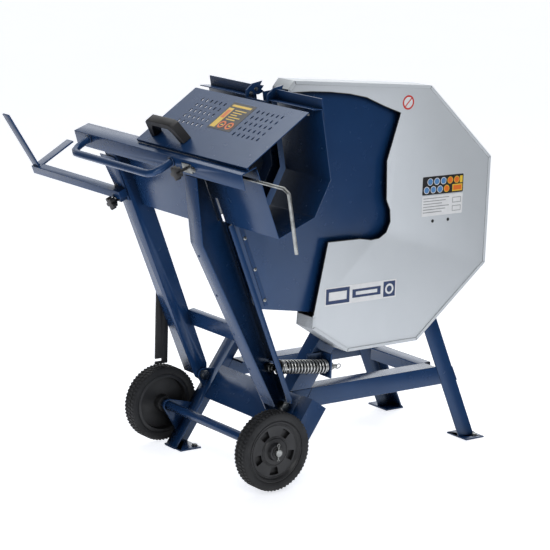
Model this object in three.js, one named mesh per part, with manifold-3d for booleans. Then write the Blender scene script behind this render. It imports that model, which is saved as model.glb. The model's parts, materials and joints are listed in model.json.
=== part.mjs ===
// Tilting-cradle log saw: a fixed frame with a cased 700 mm blade, and a cradle that swings the log into it.
// Millimetres. +X is the operator's right, +Y the push direction, +Z up, and the floor is Z = 0.
import * as THREE from 'three';
import { mergeVertices } from 'three/addons/utils/BufferGeometryUtils.js';
import Module from 'manifold-3d';

const wasm = await Module();
wasm.setup();

// ---------------------------------------------------------------- driving dimensions
const ORIGIN_SHIFT = { x: -113.45, y: 43.8 };   // puts the origin under the middle of the whole machine
const GAP = 0.3;                                // clearance between pieces that touch on the real machine
const FACETS = 24;                              // sides of a small round

const SHEET = 2.5;                              // folded sheet
const ANGLE_WALL = 5;                           // wall of the angle-iron members
const FRAME = { near: 313, far: -72, flange: 50, depth: 60, top: 590 };
const FRONT = { footY: -325.5, lean: Math.atan(0.6857) };
const REAR = { footY: 526.3, lean: Math.atan(0.4455), depth: 53 };
const LOWER_LEG = { outer: 413, depth: 58, top: 284 };
const RAIL = { top: 232, drop: 55, width: 55 };
const FOOT_THICKNESS = 5;

const PIVOT = { y: -213.5, z: 204.5, boltR: 8, holeR: 8.35 };
const AXLE = { y: -321, z: 121.5, r: 10, sleeveR: 13.5 };
const WHEEL = { r: 110, rimR: 87, width: 48, near: 418.3, far: -130.3 };

const BLADE = { x: 357, y: 90, z: 712, r: 350, thickness: 3, teeth: 42 };
const CASE = { back: 321, front: 393, wall: 2 };
const GUARD_ARC = 884;                          // outer edge of the swinging guards, about the cradle pivot

const CRADLE = { nearWeb: 326, nearLip: 380, farWeb: -52, farLip: -104, wall: 4 };
const TROUGH = { far: 88, near: 600, gapFar: 303, gapNear: 404 };
const LID = { top: [-354, 1065], bottom: [-543, 936], sheet: 2.5 };
const GRIP = { start: 150, width: 27 };          // place down the lid's slope
const HINGE = { y: -351, z: 1059, r: 3.8 };
const STOP_ROD = { y: -529, z: 905, r: 4.75, start: 150, corner: 757.2, drop: 168 };
const LATCH = { y: -320, z: 455, pinR: 6 };
const SPRING_ROD = { x: 340, y: -262, z: 322, slope: -7, r: 6, seat: 31, bracketY: -67, length: 234 };

// Outlines in Y and Z.
const BEAM_PROFILE = [[-547, 878], [-560, 919], [-513, 937]];
const FRONT_WALL = [[-510, 929.6], [-435, 746]];
const TROUGH_FLOOR = [[-323, 791], [-276, 884], [-312, 1069], [-340, 1069]];
const CASE_OUTLINE = [
  [-266, 1092], [-247, 1115], [229, 1077], [463, 862], [461, 551], [216, 349], [-35, 348], [-161, 428],
];
const CUTOUT_TOP = [[-266, 1083], [-194, 1082], [-127, 1077], [-58, 1068], [0, 1055], [65, 1027], [121, 1006]];
const CUTOUT_SIDE = [
  [79, 876], [83, 766], [97, 737], [100, 703], [87, 675], [63, 661], [35, 659], [-4, 666], [-116, 667],
  [-158, 465],
];
const BACK_CUTOUT_SIDE = [[20, 1047], [20, 870], [0, 800], [-30, 740], [-70, 690], [-116, 667], [-158, 465]];

// ---------------------------------------------------------------- materials
function finish(color, roughness, metalness) {
  return () => new THREE.MeshStandardMaterial({ color, roughness, metalness });
}
const blueCoat = finish(0x1f3f6e, 0.42, 0.1);
const silverCoat = finish(0xbcc3cb, 0.4, 0.3);
const blackPlastic = finish(0x2b2c2e, 0.6, 0);
const greyMotor = finish(0x5c6266, 0.5, 0.3);
const zinc = finish(0xc9ccd0, 0.3, 0.9);
const steel = finish(0x9a9da1, 0.35, 0.9);
const redPlastic = finish(0xb3221c, 0.4, 0);
const greenPlastic = finish(0x2f8a3c, 0.4, 0);

// ---------------------------------------------------------------- solid helpers
const X = new THREE.Vector3(1, 0, 0);
const Y = new THREE.Vector3(0, 1, 0);
const Z = new THREE.Vector3(0, 0, 1);

function at(x, y, z) {
  return new THREE.Vector3(x, y, z);
}

// A closed geometry as a solid with its faces pointing out.
function toSolid(geometry) {
  const bare = geometry.clone();
  bare.deleteAttribute('normal');
  bare.deleteAttribute('uv');
  const merged = mergeVertices(bare, 1e-4);
  const points = merged.attributes.position.array;
  const corners = merged.index.array;
  const triangles = [];
  let volume = 0;
  for (let i = 0; i < corners.length; i += 3) {
    const [a, b, c] = [corners[i], corners[i + 1], corners[i + 2]];
    if (a === b || b === c || a === c) continue;
    triangles.push(a, b, c);
    const [pa, pb, pc] = [a, b, c].map((n) => at(points[3 * n], points[3 * n + 1], points[3 * n + 2]));
    volume += pa.dot(pb.cross(pc));
  }
  if (volume < 0) triangles.reverse();
  const vertProperties = Float32Array.from(points);
  const triVerts = Uint32Array.from(triangles);
  return new wasm.Manifold(new wasm.Mesh({ numProp: 3, vertProperties, triVerts }));
}

// An outline in the plane of u and v, swept by depth along u x v.
function prism(outline, depth, origin, u, v, holes = []) {
  const shape = new THREE.Shape(outline.map(([a, b]) => new THREE.Vector2(a, b)));
  for (const hole of holes) {
    shape.holes.push(new THREE.Path(hole.map(([a, b]) => new THREE.Vector2(a, b))));
  }
  const geometry = new THREE.ExtrudeGeometry(shape, { depth, bevelEnabled: false });
  const w = u.clone().cross(v);
  geometry.applyMatrix4(new THREE.Matrix4().makeBasis(u, v, w).setPosition(origin));
  return toSolid(geometry);
}

function plateYZ(outline, x0, x1, holes) {
  return prism(outline, x1 - x0, at(x0, 0, 0), Y, Z, holes);
}

function plateXZ(outline, y0, y1, holes) {
  return prism(outline, y1 - y0, at(0, y1, 0), X, Z, holes);
}

function plateXY(outline, z0, z1, holes) {
  return prism(outline, z1 - z0, at(0, 0, z0), X, Y, holes);
}

function rect(a0, b0, a1, b1) {
  return [[a0, b0], [a1, b0], [a1, b1], [a0, b1]];
}

function block(x0, y0, z0, x1, y1, z1) {
  return plateXY(rect(x0, y0, x1, y1), z0, z1);
}

function arc(a, b, r, from, to, steps) {
  const points = [];
  for (let i = 0; i <= steps; i++) {
    const t = THREE.MathUtils.degToRad(from + (to - from) * i / steps);
    points.push([a + r * Math.cos(t), b + r * Math.sin(t)]);
  }
  return points;
}

function circle(a, b, r, sides = FACETS) {
  return arc(a, b, r, 0, 360, sides).slice(0, -1);
}

function cylinderX(x0, x1, y, z, r, sides = FACETS) {
  return plateYZ(circle(y, z, r, sides), x0, x1);
}

function ringX(x0, x1, y, z, r, bore, sides = FACETS) {
  return plateYZ(circle(y, z, r, sides), x0, x1, [circle(y, z, bore, sides)]);
}

// A polyline given a wall thickness on its left side (right side when negative), with mitred corners.
function folded(points, wall) {
  const offset = points.map((point, i) => {
    const normals = [];
    for (const [p, q] of [[points[i - 1], point], [point, points[i + 1]]]) {
      if (!p || !q) continue;
      const length = Math.hypot(q[0] - p[0], q[1] - p[1]);
      normals.push([-(q[1] - p[1]) / length, (q[0] - p[0]) / length]);
    }
    const [m, n] = [normals[0], normals[normals.length - 1]];
    const scale = wall / (1 + m[0] * n[0] + m[1] * n[1]);
    return [point[0] + (m[0] + n[0]) * scale, point[1] + (m[1] + n[1]) * scale];
  });
  return [...points, ...offset.reverse()];
}

// A round bar that follows straight runs with rounded corners.
function bar(points, r, bend, sides = 12, steps = 40) {
  const path = new THREE.CurvePath();
  let start = points[0];
  for (let i = 1; i < points.length - 1; i++) {
    const corner = points[i];
    const before = corner.clone().add(start.clone().sub(corner).setLength(bend));
    const after = corner.clone().add(points[i + 1].clone().sub(corner).setLength(bend));
    path.add(new THREE.LineCurve3(start, before));
    path.add(new THREE.QuadraticBezierCurve3(before, corner, after));
    start = after;
  }
  path.add(new THREE.LineCurve3(start, points[points.length - 1]));
  const shape = new THREE.Shape(circle(0, 0, r, sides).map(([a, b]) => new THREE.Vector2(a, b)));
  return toSolid(new THREE.ExtrudeGeometry(shape, { steps, extrudePath: path, bevelEnabled: false }));
}

// A closed profile of [radius, x] pairs turned about a line along X.
function turnedX(profile, y, z, segments) {
  const points = [...profile, profile[0]].map(([r, x]) => new THREE.Vector2(r, x));
  const geometry = new THREE.LatheGeometry(points, segments);
  geometry.applyMatrix4(new THREE.Matrix4().makeBasis(Y, X, Z.clone().negate()).setPosition(0, y, z));
  return toSolid(geometry);
}

// ---------------------------------------------------------------- scene graph
const machine = new THREE.Group();
machine.name = 'log_saw';
machine.position.set(ORIGIN_SHIFT.x, ORIGIN_SHIFT.y, 0);

function assembly(name) {
  const group = new THREE.Group();
  group.name = `${name}_assembly`;
  machine.add(group);
  return group;
}

function addPiece(group, name, solid, material) {
  const mesh = solid.getMesh();
  const geometry = new THREE.BufferGeometry();
  geometry.setAttribute('position', new THREE.BufferAttribute(Float32Array.from(mesh.vertProperties), 3));
  geometry.setIndex(new THREE.BufferAttribute(Uint32Array.from(mesh.triVerts), 1));
  const piece = new THREE.Mesh(geometry, material());
  piece.name = name;
  group.add(piece);
}

// ---------------------------------------------------------------- leaning frames of reference
const FRONT_UP = at(0, Math.sin(FRONT.lean), Math.cos(FRONT.lean));
const FRONT_IN = at(0, Math.cos(FRONT.lean), -Math.sin(FRONT.lean));
const REAR_UP = at(0, -Math.sin(REAR.lean), Math.cos(REAR.lean));
const REAR_IN = at(0, -Math.cos(REAR.lean), -Math.sin(REAR.lean));

function frontPoint(v, w) {
  return at(0, FRONT.footY, 0).addScaledVector(FRONT_IN, v).addScaledVector(FRONT_UP, w);
}

// A section in X and depth behind the front plane, running up the front legs.
function alongFrontLeg(section, w0, w1) {
  return prism(section, w1 - w0, frontPoint(0, w0), X, FRONT_IN);
}

// An upright plate across the front plane, given in depth behind it and height up it.
function acrossFront(outline, x0, x1, holes) {
  return prism(outline, x1 - x0, frontPoint(0, 0).setX(x0), FRONT_IN, FRONT_UP, holes);
}

function depthAndHeight(y, z) {
  const offset = at(0, y - FRONT.footY, z);
  return [offset.dot(FRONT_IN), offset.dot(FRONT_UP)];
}

function alongRearLeg(section, w0, w1) {
  const origin = at(0, REAR.footY, 0).addScaledVector(REAR_UP, w1);
  return prism(section, w1 - w0, origin, X, REAR_IN);
}

// An angle section: outer corner at x, one flange across X, the other going in by depth.
function angleSection(x, side, flange, depth) {
  const t = ANGLE_WALL;
  return [
    [x, 0], [x + side * flange, 0], [x + side * flange, t],
    [x + side * t, t], [x + side * t, depth], [x, depth],
  ];
}

const FAR_OUT = 2000;
function below(z) {
  return block(-FAR_OUT, -FAR_OUT, z - FAR_OUT, FAR_OUT, FAR_OUT, z);
}
function above(z) {
  return block(-FAR_OUT, -FAR_OUT, z, FAR_OUT, FAR_OUT, z + FAR_OUT);
}

// ---------------------------------------------------------------- frame
function footPlate(x0, y0, x1, y1) {
  return block(x0, y0, 0, x1, y1, FOOT_THICKNESS);
}

function pivotEar(x0, x1) {
  const [v, w] = depthAndHeight(PIVOT.y, PIVOT.z);
  const outline = [[2, w - 34], ...arc(v, w, 18, 240, 120, 8), [2, w + 34]];
  return acrossFront(outline, x0, x1, [circle(v, w, PIVOT.holeR)]);
}

function addFrame() {
  const frame = assembly('frame');
  const farSection = angleSection(FRAME.far, 1, FRAME.flange, FRAME.depth);
  const nearSection = angleSection(FRAME.near, -1, FRAME.flange + 2, FRAME.depth);
  const lowerSection = angleSection(LOWER_LEG.outer, -1, FRAME.flange, LOWER_LEG.depth);
  const leg = (section, w0, w1) => alongFrontLeg(section, w0, w1).subtract(below(0)).subtract(above(FRAME.top));

  const farFront = leg(farSection, -60, 900).add(footPlate(-79, -323, 7, -252)).add(pivotEar(-51.5, -45.5));
  addPiece(frame, 'front_leg_far', farFront, blueCoat);
  const nearUpper = leg(nearSection, 200, 900).subtract(below(RAIL.top + 0.4));
  addPiece(frame, 'front_leg_near_upper', nearUpper, blueCoat);
  const nearLower = leg(lowerSection, -60, LOWER_LEG.top).add(footPlate(334, -323, 420, -252));
  addPiece(frame, 'front_leg_near_lower', nearLower, blueCoat);

  const rearLeg = (x, side) => alongRearLeg(angleSection(x, side, FRAME.flange, REAR.depth), -60, 900)
    .subtract(below(0)).subtract(above(FRAME.top));
  addPiece(frame, 'rear_leg_far', rearLeg(FRAME.far, 1).add(footPlate(-111, 460, -20, 528)), blueCoat);
  addPiece(frame, 'rear_leg_near', rearLeg(FRAME.near, -1).add(footPlate(258, 466, 347, 536)), blueCoat);

  // Side rails: angles whose ends are cut to the lean of the members that they meet.
  const big = (v0, v1) => rect(-FAR_OUT, v0, FAR_OUT, v1);
  const aheadOf = (depth) => alongFrontLeg(big(-FAR_OUT, depth), -FAR_OUT, FAR_OUT);
  const behindRearLeg = alongRearLeg(big(-FAR_OUT, REAR.depth + 0.4), -FAR_OUT, FAR_OUT);
  const rail = (x, side, frontDepth) => {
    const [top, t] = [RAIL.top, ANGLE_WALL];
    const section = [
      [x, top - RAIL.drop], [x, top], [x + side * RAIL.width, top], [x + side * RAIL.width, top - t],
      [x + side * t, top - t], [x + side * t, top - RAIL.drop],
    ];
    return plateXZ(section, -300, 500).subtract(aheadOf(frontDepth)).subtract(behindRearLeg);
  };
  addPiece(frame, 'side_rail_far', rail(FRAME.far, 1, FRAME.depth + 0.4), blueCoat);
  addPiece(frame, 'side_rail_near', rail(FRAME.near, -1, 6.4), blueCoat);

  const crossSection = folded([[340, RAIL.top], [390, RAIL.top], [390, RAIL.top - RAIL.drop]], -ANGLE_WALL);
  const railInner = [FRAME.far + RAIL.width + GAP, FRAME.near - RAIL.width - GAP];
  addPiece(frame, 'rear_cross_rail', plateYZ(crossSection, ...railInner), blueCoat);
  const topSection = folded([[128, 540], [128, 580], [190, 580]], -ANGLE_WALL);
  const legClear = ANGLE_WALL + 0.4;
  const topRail = plateYZ(topSection, FRAME.far + legClear, FRAME.near - legClear)
    .subtract(aheadOf(legClear))
    .subtract(alongRearLeg(big(-FAR_OUT, legClear), -FAR_OUT, FAR_OUT));
  addPiece(frame, 'top_cross_rail', topRail, blueCoat);

  const plateOutline = rect(FRAME.far + FRAME.flange + GAP, 0, LOWER_LEG.outer - FRAME.flange - GAP, 6);
  const crossPlate = alongFrontLeg(plateOutline, 174.6, 281);
  addPiece(frame, 'pivot_crossmember', crossPlate.add(pivotEar(318, 324)), blueCoat);
}

function addPivotBolts() {
  const frame = assembly('pivot');
  const { y, z, boltR } = PIVOT;
  const bolt = (x0, x1, headX, nutX, bushX) => cylinderX(x0, x1, y, z, boltR)
    .add(cylinderX(headX, headX + 11, y, z, 14, 6))
    .add(cylinderX(nutX, nutX + 10, y, z, 14, 6))
    .add(cylinderX(bushX[0], bushX[1], y, z, 12));
  addPiece(frame, 'pivot_bolt_near', bolt(305, 356, 345, 307.7, [330.4, 346]), zinc);
  addPiece(frame, 'pivot_bolt_far', bolt(-72, -34, -45.2, -70, [-62, -56.4]), zinc);
}

function addSpringBracket() {
  const frame = assembly('spring_bracket');
  const { x, y, z, slope, bracketY } = SPRING_ROD;
  const rear = bracketY + ANGLE_WALL;
  const holeZ = z + (bracketY + ANGLE_WALL / 2 - y) * Math.tan(THREE.MathUtils.degToRad(slope));
  const face = plateXZ(rect(FRAME.near + GAP, 268, 363, 338), bracketY, rear, [circle(x, holeZ, 9)]);
  const ear = plateYZ(rect(rear - 53, 274, rear, 334), FRAME.near + GAP, FRAME.near + ANGLE_WALL);
  addPiece(frame, 'spring_bracket', face.add(ear), blueCoat);
}

// ---------------------------------------------------------------- wheels
function addRunningGear() {
  const gear = assembly('axle');
  const [v, w] = depthAndHeight(AXLE.y, AXLE.z);
  const lugOutline = [[-0.4, w - 48], ...arc(v, w, 19, 250, 110, 8), [-0.4, w + 44]];
  const lug = (x0, x1) => acrossFront(lugOutline, x0, x1, [circle(v, w, AXLE.sleeveR + 0.35)]);
  addPiece(gear, 'axle_bracket_far', lug(-68, -60), blueCoat);
  addPiece(gear, 'axle_bracket_near', lug(401, 409), blueCoat);

  const shaft = cylinderX(-141, 477, AXLE.y, AXLE.z, AXLE.r)
    .add(cylinderX(-81, 417.6, AXLE.y, AXLE.z, AXLE.sleeveR))
    .add(pinAcross(-136.5))
    .add(pinAcross(472.5));
  addPiece(gear, 'axle', shaft, zinc);

  for (const [side, x0, outward] of [['near', WHEEL.near, 1], ['far', WHEEL.far, -1]]) {
    const group = assembly(`wheel_${side}`);
    const mid = x0 + WHEEL.width / 2;
    addPiece(group, `wheel_${side}`, wheelBody(mid, outward), blackPlastic);
    addPiece(group, `tyre_${side}`, tyre(mid), blackPlastic);
  }
}

function pinAcross(x) {
  return plateXY(circle(x, AXLE.y, 2.5, 8), AXLE.z - 17, AXLE.z + 17);
}

function wheelBody(mid, outward) {
  const half = WHEEL.width / 2;
  const face = 13;
  const pocketFloor = 3;
  const s = (x) => mid + outward * x;
  const profile = [
    [AXLE.r + 0.4, s(-half)], [22, s(-half)], [24, s(-2)], [WHEEL.rimR - 12, s(-2)],
    [WHEEL.rimR - 10, s(-half + 4)], [WHEEL.rimR, s(-half + 4)], [WHEEL.rimR, s(half - 5)], [WHEEL.rimR - 7, s(half - 5)],
    [WHEEL.rimR - 11, s(face)], [38, s(face)], [36, s(face + 3)], [25, s(face + 3)], [22, s(half + 2)],
    [AXLE.r + 0.4, s(half + 2)],
  ];
  let body = turnedX(profile, AXLE.y, AXLE.z, 32);
  const pockets = 5;
  for (let i = 0; i < pockets; i++) {
    const middle = 270 + i * 360 / pockets;
    const pocket = [...arc(AXLE.y, AXLE.z, 66, middle - 13, middle + 13, 3),
      ...arc(AXLE.y, AXLE.z, 45, middle + 13, middle - 13, 2)];
    const [x0, x1] = [s(pocketFloor), s(half + 5)].sort((a, b) => a - b);
    body = body.subtract(plateYZ(pocket, x0, x1));
  }
  return body;
}

function tyre(mid) {
  const half = WHEEL.width / 2;
  const inner = WHEEL.rimR + 0.3;
  const profile = [
    [inner, mid - half + 4], [WHEEL.r - 6, mid - half], [WHEEL.r, mid - half + 6], [WHEEL.r, mid + half - 6],
    [WHEEL.r - 6, mid + half], [inner, mid + half - 4],
  ];
  return turnedX(profile, AXLE.y, AXLE.z, 40);
}

// ---------------------------------------------------------------- blade, case and motor
function addCase() {
  const group = assembly('case');
  const cutout = [...CUTOUT_SIDE.slice().reverse(), ...CUTOUT_TOP.slice().reverse()];
  const front = plateYZ([...CASE_OUTLINE, ...cutout], CASE.front - CASE.wall, CASE.front);
  addPiece(group, 'case_front', front, silverCoat);

  const backCutout = [...BACK_CUTOUT_SIDE.slice().reverse(), ...CUTOUT_TOP.slice(0, 5).reverse()];
  const shaftHole = circle(BLADE.y, BLADE.z, 34);
  const back = plateYZ([...CASE_OUTLINE, ...backCutout], CASE.back, CASE.back + CASE.wall, [shaftHole]);
  addPiece(group, 'case_back', back, silverCoat);

  const band = folded([...CASE_OUTLINE, [-158, 460]], -CASE.wall);
  const wall = CASE.wall + GAP;
  addPiece(group, 'case_band', plateYZ(band, CASE.back + wall, CASE.front - wall), silverCoat);
}

function addBlade() {
  const group = assembly('blade');
  const { x, y, z, r, thickness, teeth } = BLADE;
  const outline = [];
  for (let i = 0; i < teeth; i++) {
    const turn = 2 * Math.PI / teeth;
    for (const [radius, step] of [[r - 14, 0], [r, 0.62], [r - 5, 0.9], [r - 14, 0.94]]) {
      outline.push([y + radius * Math.cos(turn * (i + step)), z + radius * Math.sin(turn * (i + step))]);
    }
  }
  const half = thickness / 2;
  addPiece(group, 'saw_blade', plateYZ(outline, x - half, x + half, [circle(y, z, 15.4)]), steel);
  const flangeR = 52;
  const innerFlange = cylinderX(x - half - 10, x - half - GAP, y, z, flangeR, 32);
  const arbor = cylinderX(300.4, x + half + 10.5, y, z, 15).add(innerFlange);
  addPiece(group, 'blade_arbor', arbor, steel);
  const clamp = ringX(x + half + GAP, x + half + 6, y, z, flangeR, 15.4, 32);
  addPiece(group, 'blade_flange', clamp, steel);
}

function addMotor() {
  const group = assembly('motor');
  const { y, z } = BLADE;
  const outer = [[-30, 425], [30, 425], [90, 520], [226, 520], [270, 430], [330, 430], [200, 830], [-20, 830]];
  const plate = plateYZ(outer, FRAME.near + 0.8, FRAME.near + 6.8, [circle(y, z, 34)])
    .subtract(acrossFront(rect(-300, 0, -1, FAR_OUT), 300, 330));
  addPiece(group, 'motor_plate', plate, blueCoat);

  const fins = 30;
  const outline = [];
  for (let i = 0; i < fins; i++) {
    for (const [radius, step] of [[84, 0.08], [84, 0.5], [94, 0.56], [94, 0.96]]) {
      const angle = 2 * Math.PI * (i + step) / fins;
      outline.push([y + radius * Math.cos(angle), z + radius * Math.sin(angle)]);
    }
  }
  const flange = cylinderX(294, FRAME.near + 0.5, y, z, 98, 40);
  const body = plateYZ(outline, 80, 294.1).add(flange).subtract(cylinderX(299.9, 330, y, z, 40));
  addPiece(group, 'motor_body', body, greyMotor);
  const coverProfile = [[30, 4], [88, 4], [97, 14], [97, 79.7], [94.5, 79.7], [94.5, 16], [86, 7], [30, 7]];
  let grille = turnedX(coverProfile, y, z, 40);
  for (const angle of [0, 45, 90, 135]) {
    const t = THREE.MathUtils.degToRad(angle);
    const across = at(0, Math.cos(t), Math.sin(t));
    grille = grille.add(prism(rect(-40, -3, 40, 3), 3, at(4, y, z), across, X.clone().cross(across)));
  }
  addPiece(group, 'motor_fan_cover', grille.add(cylinderX(4, 7, y, z, 12)), greyMotor);

  const box = block(70, 196, 640, 150, 296, 770).subtract(cylinderX(60, 90, 246, 735, 17))
    .subtract(cylinderX(60, 90, 246, 685, 17));
  const neck = block(90, 182, 680, 130, 197, 730).subtract(cylinderX(60, 150, y, z, 94.6, 60));
  addPiece(group, 'switch_box', box.add(neck), blackPlastic);
  const inlet = plateXY(circle(110, 246, 27), 575, 639.7).subtract(plateXY(circle(110, 246, 22), 560, 600));
  addPiece(group, 'power_inlet', inlet, blackPlastic);
}

function addButtons() {
  const button = (z) => cylinderX(64, 81.5, 246, z, 15);
  addPiece(assembly('start_button'), 'start_button', button(735), greenPlastic);
  addPiece(assembly('stop_button'), 'stop_button', button(685), redPlastic);
}

// ---------------------------------------------------------------- cradle
const NEAR_FRONT_EDGE = [[-547, 876], [-522, 694], [-272, 220]];
const NEAR_REAR_EDGE = [[-423, 743], [-211, 232], [-211, 220]];
const FAR_FRONT_EDGE = [[-541, 913], [-505, 828], [-241, 207]];
const FAR_REAR_EDGE = [[-472, 914], [-432, 815], [-199, 235]];

function addCradle() {
  const cradle = assembly('cradle');
  const { nearWeb, nearLip, farWeb, farLip, wall } = CRADLE;
  const pivotHole = circle(PIVOT.y, PIVOT.z, PIVOT.holeR);
  const foot = arc(PIVOT.y, PIVOT.z, 20, 255, 400, 10);

  // Near leg: a channel open to the right, slotted for the blade, with a lip along its rear flange.
  const nearOutline = [
    ...NEAR_FRONT_EDGE, [-262, 200], ...foot, [-211, 240], [-423, 743], [-438, 745], [-491.5, 875],
  ];
  const web = plateYZ(nearOutline, nearWeb, nearWeb + wall, [pivotHole]);
  const frontFlange = plateYZ(folded(NEAR_FRONT_EDGE, wall), nearWeb, nearLip);
  const rearFlange = plateYZ(folded(NEAR_REAR_EDGE, -wall), nearWeb, nearLip);
  const lip = plateYZ(folded(NEAR_REAR_EDGE.slice(0, 2), -16), nearLip - wall, nearLip);
  const bladeSlot = block(343, -430, 560, 371, -300, 800).add(block(343, -380, 505, 371, -300, 561));
  const rodSlot = block(nearWeb + wall + 0.2, -262, 300, 353, -220, 341);
  const nearLeg = web.add(frontFlange).add(rearFlange).add(lip).subtract(bladeSlot).subtract(rodSlot);
  addPiece(cradle, 'cradle_leg_near', nearLeg, blueCoat);

  // Far leg: a channel open to the left.
  const farOutline = [
    ...FAR_FRONT_EDGE, [-236, 197], ...foot, [-199, 235], ...FAR_REAR_EDGE.slice(0, 2).reverse(),
  ];
  const farWebPlate = plateYZ(farOutline, farWeb - wall, farWeb, [pivotHole]);
  const farFront = plateYZ(folded(FAR_FRONT_EDGE, wall), farLip, farWeb);
  const farRear = plateYZ(folded(FAR_REAR_EDGE, -wall), farLip, farWeb);
  addPiece(cradle, 'cradle_leg_far', farWebPlate.add(farFront).add(farRear), blueCoat);

  const between = [farWeb + GAP, nearWeb - GAP];
  const crossbar = plateYZ(folded([[-250, 406], [-269, 402], [-252, 354]], wall), ...between);
  addPiece(cradle, 'cradle_crossbar', crossbar, blueCoat);
  const [studY, studZ] = beamFacePoint();
  const studStart = at(KNOB_ROD_X, studY, studZ).addScaledVector(BEAM_OUT, -30);
  const studHole = prism(circle(0, 0, 4.8, 12), 60, studStart, X, BEAM_OUT.clone().cross(X));
  const beam = plateYZ(folded(BEAM_PROFILE, -3), -208, TROUGH.near).subtract(studHole);
  addPiece(cradle, 'top_beam', beam, blueCoat);

  const panel = plateYZ(folded([...FRONT_WALL, [-425, 722]], -SHEET), ...between);
  addPiece(cradle, 'front_panel', panel, blueCoat);

  // The far trough ends at the blade gap in a flange turned back from its rear wall.
  const turnedBack = folded([...TROUGH_FLOOR.slice(0, 2), [-303.4, 1025]], -34);
  const farTrough = plateYZ(folded([[-431.3, 747.5], ...TROUGH_FLOOR], -SHEET), TROUGH.far, TROUGH.gapFar)
    .add(plateYZ(turnedBack, TROUGH.gapFar - SHEET, TROUGH.gapFar));
  addPiece(cradle, 'trough_far', farTrough, blueCoat);
  const nearTrough = plateYZ(folded([...FRONT_WALL, ...TROUGH_FLOOR], -SHEET), TROUGH.gapNear, TROUGH.near)
    .add(plateYZ(folded(FRONT_WALL, -SHEET), nearWeb, TROUGH.gapNear + 1))
    .subtract(block(351, -490, 700, 363, -380, 812));
  addPiece(cradle, 'trough_near', nearTrough, blueCoat);

  addGuards(cradle);
  addClaws(cradle);
  addHandle(cradle);
  addClamps(cradle);

  const hinge = cylinderX(TROUGH.far + 4, TROUGH.near - 4, HINGE.y, HINGE.z, HINGE.r, 12);
  addPiece(cradle, 'lid_hinge_pin', hinge, zinc);
  addPiece(cradle, 'latch_pin', cylinderX(-118, farWeb - wall - GAP, LATCH.y, LATCH.z, LATCH.pinR)
    .add(cylinderX(-124, -117.9, LATCH.y, LATCH.z, 11, 6)), zinc);
  addPiece(cradle, 'rod_pin', cylinderX(nearWeb + wall + GAP, 358, SPRING_ROD.y, SPRING_ROD.z, 5)
    .add(cylinderX(352, 359, SPRING_ROD.y, SPRING_ROD.z, 8.5, 6)), zinc);
}

// Sheet guards each side of the blade, which swing into the case with the cradle.
function addGuards(cradle) {
  const sweep = (y0, y1) => {
    const angle = (y) => THREE.MathUtils.radToDeg(Math.acos((y - PIVOT.y) / GUARD_ARC));
    return arc(PIVOT.y, PIVOT.z, GUARD_ARC, angle(y0), angle(y1), 16);
  };
  const throat = [[-421.6, 743.4], [-322, 789], [-273, 884], [-309, 1069], [-311, 1081]];
  const nearBack = [[125, 860], [125, 690], [95, 645], [-140, 470], [-321.2, 499]];
  const near = plateYZ([...throat, ...sweep(-308, 150), ...nearBack], 374, 376);
  addPiece(cradle, 'blade_guard_near', near, blueCoat);
  const farBack = [[125, 860], [125, 770], [-60, 830], [-140, 815], [-188, 700], [-205, 480], [-321.2, 499]];
  const far = plateYZ([...throat, ...sweep(-308, 150), ...farBack], 338, 340);
  addPiece(cradle, 'blade_guard_far', far, blueCoat);
}

// Toothed log claws at the blade gap, on strips that stand up behind the trough.
function addClaws(cradle) {
  const strip = folded([[-302.9, 1040], [-314, 1097]], -3);
  const teeth = [
    [-342, 1046], [-336, 1046], [-334, 1071], [-300, 1071], [-282, 1078], [-292, 1084],
    [-284, 1094], [-296, 1096], [-290, 1107], [-322, 1101], [-342, 1084],
  ];
  const farClaw = plateYZ(teeth, TROUGH.gapFar + GAP, TROUGH.gapFar + 5);
  const farStrip = plateYZ(strip, 95, TROUGH.gapFar + 2);
  const nearClaw = plateYZ(teeth, TROUGH.gapNear - 5, TROUGH.gapNear - GAP);
  const nearStrip = plateYZ(strip, TROUGH.gapNear - 2, TROUGH.near);
  const linkProfile = rect(-342, 1058, -339, 1067);
  const link = plateYZ(linkProfile, TROUGH.gapFar + 3, TROUGH.gapNear - 5 - GAP);
  addPiece(cradle, 'claw_strip_far', farStrip.add(farClaw).add(link), blueCoat);
  addPiece(cradle, 'claw_strip_near', nearStrip.add(nearClaw), blueCoat);
}

function addHandle(cradle) {
  const out = at(0, -Math.cos(Math.PI / 6), -0.5);
  const root = at(0, -556, 906).addScaledVector(out, 3.4);
  const tip = at(0, -556, 906).addScaledVector(out, 66);
  const path = [root.clone().setX(-134), tip.clone().setX(-134), tip.clone().setX(280), root.clone().setX(280)];
  addPiece(cradle, 'push_handle', bar(path, 10.5, 36, 12, 28), blueCoat);
}

// ---------------------------------------------------------------- clamps, stop rod and extension arm
const BEAM_OUT = at(0, -0.9532, -0.3023);
const LEG_OUT = at(0, -0.9202, -0.3914);
const LEG_DOWN = at(0, 0.3914, -0.9202);
const KNOB_ROD_X = 347;
const ARM = { top: [-482.5, 775], size: 24.5, off: 3.7, far: -535, near: -54, knobX: -87 };

function beamFacePoint() {
  const depth = 25.3;
  return [STOP_ROD.y + depth * BEAM_OUT.y, STOP_ROD.z + depth * BEAM_OUT.z];
}

// A point on the far leg's front: off is how far it stands out, down how far below the arm's top.
function legPoint(x, off, down) {
  return at(x, ...ARM.top).addScaledVector(LEG_OUT, off).addScaledVector(LEG_DOWN, down);
}

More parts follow.
